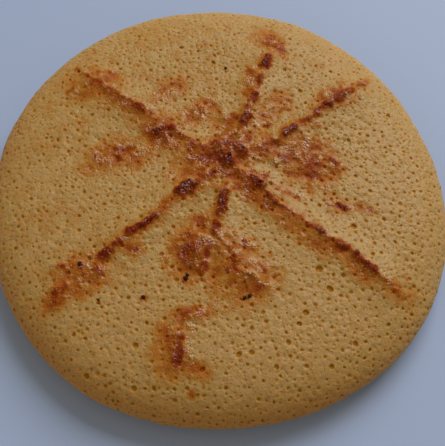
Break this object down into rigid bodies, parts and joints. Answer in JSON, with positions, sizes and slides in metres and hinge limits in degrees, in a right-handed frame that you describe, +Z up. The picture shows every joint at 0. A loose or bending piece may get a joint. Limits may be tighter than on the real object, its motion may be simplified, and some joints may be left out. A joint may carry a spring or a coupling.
{
  "type": "semolina griddle bread",
  "caption": "Round flat griddle bread with a soft domed rim, a porous crumb and a star of seared ridges across its top. It lies on its flat foot.",
  "frame": {"origin": "middle of the loaf's footprint, on the surface that its flat foot lies on", "axes": "+Z up through the crown, +X to the right and +Y to the back with the star's fan of crust in front"},
  "size_m": [0.1118, 0.1146, 0.0162],
  "materials": {
    "toasted_crumb": "matte"
  },
  "bodies": {
    "root": {"bread": "toasted_crumb"}
  },
  "joints": []
}
